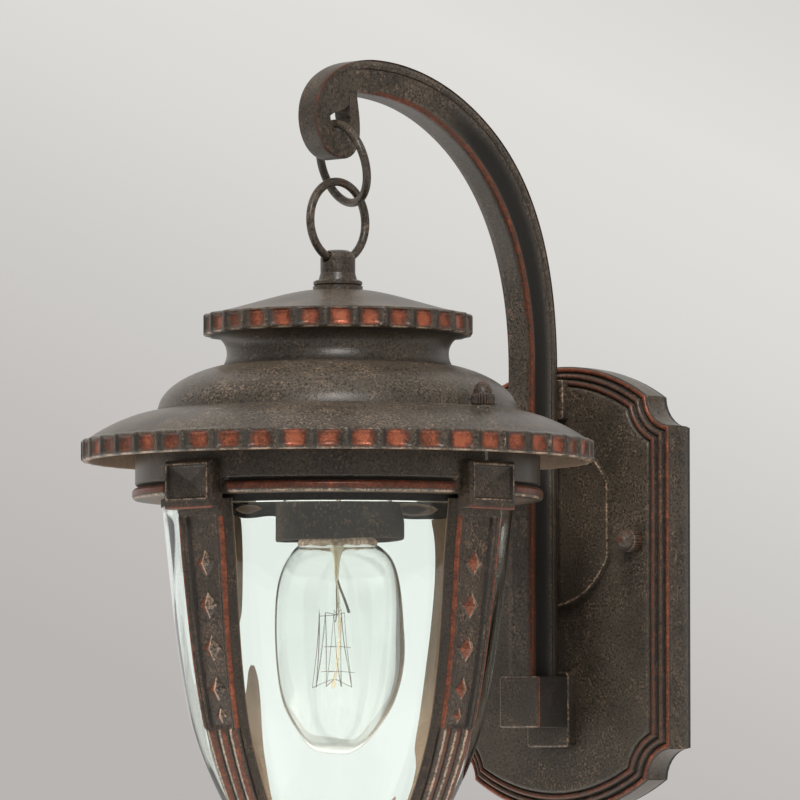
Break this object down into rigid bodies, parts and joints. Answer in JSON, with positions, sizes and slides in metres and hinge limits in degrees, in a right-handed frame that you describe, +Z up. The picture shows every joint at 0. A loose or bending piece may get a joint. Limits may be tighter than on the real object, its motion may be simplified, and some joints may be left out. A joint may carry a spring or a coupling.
{
  "type": "outdoor wall lantern",
  "caption": "Hanging four-strap lantern on a hooked wall arm with a scooped wall plate, two rings, a fluted roof, a water-glass shade and a lamp.",
  "frame": {"origin": "centre of the mounting bar's back, on the wall, at the height of the two plate cap nuts", "axes": "+Z up, +Y into the wall, +X to the right of someone facing the wall; the lantern hangs towards -Y in the plane X = 0"},
  "size_m": [0.2048, 0.2476, 0.3673],
  "materials": {
    "weathered_bronze": "dark weathered bronze paint, mottled, with copper wear on the edges",
    "strap_bronze": "dark weathered bronze paint with copper red wear on ridges and edges",
    "nut_bronze": "dark bronze paint",
    "gasket_foam": "closed cell foam",
    "zinc_steel": "zinc plated",
    "earth_green": "green earth screw",
    "shade_glass": "clear wavy water glass with a pale mint tint",
    "porcelain": "glazed, off white",
    "brass_plate": "bright",
    "bulb_cap_metal": "bright rolled thread",
    "cream_cement": "matt cream",
    "bulb_glass": "clear thin glass",
    "stem_glass": "clear solid glass",
    "filament_wire": "thin dark wire"
  },
  "bodies": {
    "wall_bracket": {"wall_plate": "weathered_bronze", "wall_gasket": "gasket_foam", "mounting_bar": "zinc_steel", "plate_studs": "zinc_steel", "stud_lock_nuts": "zinc_steel", "earth_screw": "earth_green", "arm": "weathered_bronze", "arm_screws": "zinc_steel"},
    "plate_nut_left": {"plate_cap_nut_left": "nut_bronze"},
    "plate_nut_right": {"plate_cap_nut_right": "nut_bronze"},
    "upper_ring": {"upper_ring": "weathered_bronze"},
    "lower_ring": {"lower_ring": "weathered_bronze"},
    "lantern": {"top_loop": "weathered_bronze", "loop_collar": "weathered_bronze", "centre_pipe": "zinc_steel", "roof_cap": "weathered_bronze", "roof": "weathered_bronze", "pipe_washer": "zinc_steel", "pipe_nut": "zinc_steel", "cage_ring": "weathered_bronze", "roof_studs": "zinc_steel", "strap_front": "strap_bronze", "strap_right": "strap_bronze", "strap_back": "strap_bronze", "strap_left": "strap_bronze", "strap_screws": "zinc_steel", "glass_gasket": "gasket_foam", "glass_shade": "shade_glass", "bottom_hub": "weathered_bronze", "socket_cup": "weathered_bronze", "lamp_holder": "porcelain", "holder_shell": "brass_plate", "holder_contact": "brass_plate"},
    "roof_nut_left": {"roof_cap_nut_left": "nut_bronze"},
    "roof_nut_right": {"roof_cap_nut_right": "nut_bronze"},
    "finial": {"finial": "nut_bronze"},
    "bulb": {"bulb_cap": "bulb_cap_metal", "bulb_contact": "bulb_cap_metal", "bulb_collar": "cream_cement", "bulb_glass": "bulb_glass", "bulb_stem": "stem_glass", "bulb_filament": "filament_wire"}
  },
  "joints": [
    {"name": "plate_nut_left_turn", "type": "hinge", "parent": "wall_bracket", "child": "plate_nut_left", "pos_m": [-0.04445, -0.022, 0], "axis": [0, -1, 0], "continuous": true},
    {"name": "plate_nut_right_turn", "type": "hinge", "parent": "wall_bracket", "child": "plate_nut_right", "pos_m": [0.04445, -0.022, 0], "axis": [0, -1, 0], "continuous": true},
    {"name": "upper_ring_swing", "type": "hinge", "parent": "wall_bracket", "child": "upper_ring", "pos_m": [0, -0.148, 0.1643], "axis": [1, 0, 0], "range_deg": [-20, 2]},
    {"name": "lower_ring_swing", "type": "hinge", "parent": "upper_ring", "child": "lower_ring", "pos_m": [0, -0.137, 0.1354], "axis": [0, 1, 0], "range_deg": [-15, 15]},
    {"name": "lantern_swing", "type": "hinge", "parent": "lower_ring", "child": "lantern", "pos_m": [0, -0.1452, 0.1096], "axis": [0, 1, 0], "range_deg": [-12, 12]},
    {"name": "roof_nut_left_turn", "type": "hinge", "parent": "lantern", "child": "roof_nut_left", "pos_m": [-0.079, -0.1452, 0.052], "axis": [0, 0, 1], "continuous": true},
    {"name": "roof_nut_right_turn", "type": "hinge", "parent": "lantern", "child": "roof_nut_right", "pos_m": [0.079, -0.1452, 0.052], "axis": [0, 0, 1], "continuous": true},
    {"name": "finial_turn", "type": "hinge", "parent": "lantern", "child": "finial", "pos_m": [0, -0.1452, -0.166], "axis": [0, 0, 1], "continuous": true},
    {"name": "bulb_turn", "type": "hinge", "parent": "lantern", "child": "bulb", "pos_m": [0, -0.1452, 0.01], "axis": [0, 0, 1], "continuous": true}
  ]
}
